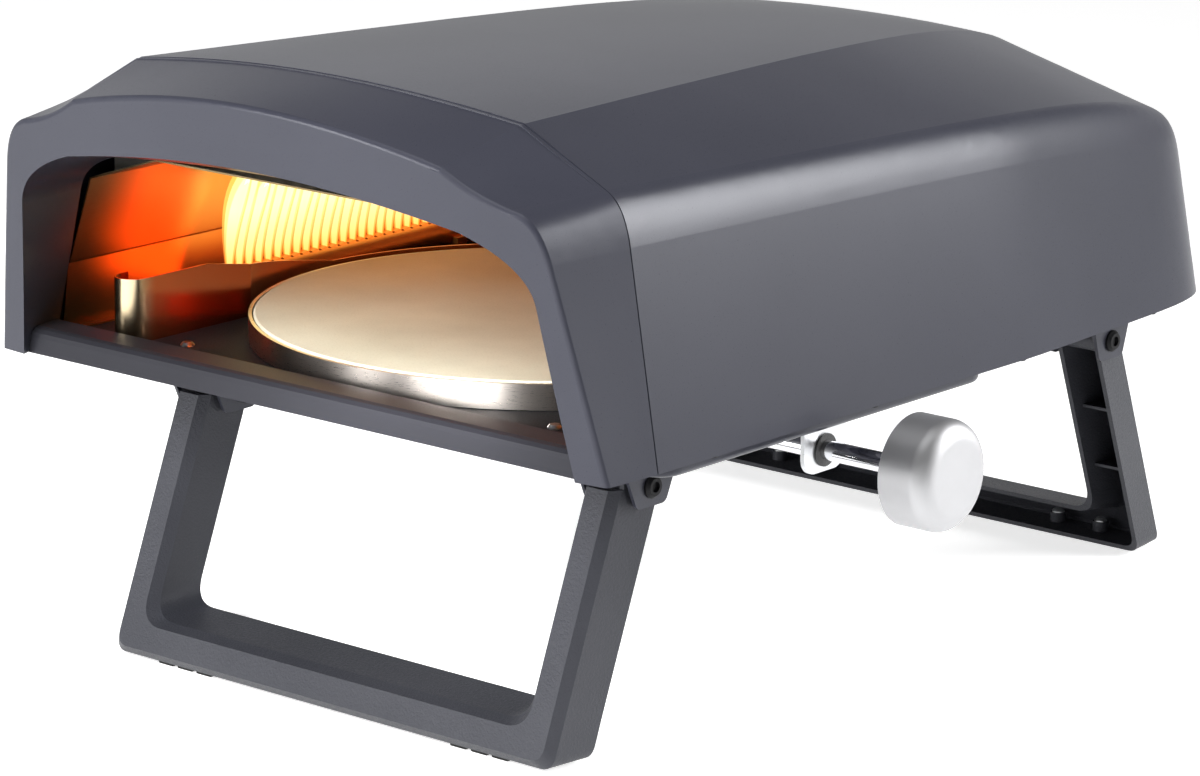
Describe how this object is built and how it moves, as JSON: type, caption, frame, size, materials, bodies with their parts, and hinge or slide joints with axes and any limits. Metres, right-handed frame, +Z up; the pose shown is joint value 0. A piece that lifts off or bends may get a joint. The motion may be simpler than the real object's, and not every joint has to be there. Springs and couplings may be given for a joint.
{
  "type": "gas pizza oven",
  "caption": "Countertop gas pizza oven with an arched hood, turning stone driven by a side knob through bevel gears, and folding legs.",
  "frame": {"origin": "under the middle of the whole oven, on the plane its feet stand on", "axes": "+Z up, the mouth faces -Y, the drive knob is on the +X side"},
  "size_m": [0.5102, 0.6477, 0.3544],
  "materials": {
    "powder_coat": "matte",
    "leg_coat": "matte, fine texture",
    "black_coat": "satin",
    "rubber": "matte",
    "stainless": "brushed",
    "tray_steel": "brushed round",
    "stone": "matte",
    "satin_silver": "satin",
    "bright_chrome": "polished",
    "zinc": "zinc plated",
    "cast_alloy": "cast",
    "gear_steel": "machined",
    "bronze": "machined",
    "brass": "satin",
    "copper_pipe": "satin",
    "fibre": "fibrous",
    "ceramic": "glazed",
    "black_plastic": "fine grain"
  },
  "bodies": {
    "oven_body": {"hood": "powder_coat", "outer_shell": "powder_coat", "front_sill": "powder_coat", "base_plate": "black_coat", "bottom_pan": "powder_coat", "liner": "stainless", "liner_back": "stainless", "insulation_blanket": "fibre", "spindle_bush": "bronze", "gear_housing": "cast_alloy", "shaft_bush_inner": "bronze", "shaft_bush_outer": "black_plastic", "shaft_bracket": "zinc", "hinge_bracket_front_right": "powder_coat", "hinge_bracket_front_left": "powder_coat", "hinge_bracket_rear_right": "powder_coat", "hinge_bracket_rear_left": "powder_coat", "hinge_bolts": "black_coat", "hinge_screws": "zinc", "burner_tube": "stainless", "burner_supports": "stainless", "flame_guard": "stainless", "igniter_electrode": "ceramic", "thermocouple": "copper_pipe", "venturi": "cast_alloy", "gas_jet": "brass", "gas_valve": "brass", "control_panel": "black_coat", "gas_inlet": "brass", "inlet_nut": "brass", "gas_pipe": "copper_pipe", "shell_screws": "zinc", "base_screws": "zinc", "drive_screws": "zinc", "guard_screws": "zinc"},
    "turntable": {"turntable_tray": "tray_steel", "pizza_stone": "stone", "spindle": "gear_steel", "spindle_clip": "gear_steel", "tray_screws": "zinc", "bevel_gear": "gear_steel"},
    "side_drive": {"bevel_pinion": "gear_steel", "drive_shaft": "bright_chrome", "shaft_collar": "zinc", "drive_knob": "satin_silver", "knob_screw": "zinc"},
    "front_legs": {"front_leg": "leg_coat", "front_leg_pads": "rubber", "front_pad_screws": "zinc"},
    "rear_legs": {"rear_leg": "leg_coat", "rear_leg_pads": "rubber", "rear_pad_screws": "zinc"},
    "valve_pusher": {"spring_washer": "zinc", "return_spring": "gear_steel"},
    "gas_control": {"gas_knob": "black_plastic", "valve_stem": "brass"}
  },
  "joints": [
    {"name": "turntable_spin", "type": "hinge", "parent": "oven_body", "child": "turntable", "pos_m": [-0.03286, -0.079, 0.181], "axis": [0, 0, 1], "continuous": true},
    {"name": "drive_spin", "type": "hinge", "parent": "oven_body", "child": "side_drive", "pos_m": [-0.02486, -0.079, 0.148], "axis": [1, 0, 0], "continuous": true},
    {"name": "front_leg_fold", "type": "hinge", "parent": "oven_body", "child": "front_legs", "pos_m": [-0.03286, -0.188, 0.144], "axis": [1, 0, 0], "range_deg": [0, 97]},
    {"name": "rear_leg_fold", "type": "hinge", "parent": "oven_body", "child": "rear_legs", "pos_m": [-0.03286, 0.2478, 0.144], "axis": [-1, 0, 0], "range_deg": [0, 111]},
    {"name": "gas_knob_push", "type": "slide", "parent": "oven_body", "child": "valve_pusher", "axis": [0, -1, 0], "range_m": [0, 0.0025], "stiffness_N_per_m": 500, "springref_m": -0.004, "deforming": ["return_spring"]},
    {"name": "gas_knob_turn", "type": "hinge", "parent": "valve_pusher", "child": "gas_control", "pos_m": [-0.01286, 0.302, 0.2055], "axis": [0, 1, 0], "range_deg": [0, 210]}
  ],
  "couplings": [
    {"joint": "drive_spin", "follows": "turntable_spin", "ratio": -1.5}
  ]
}
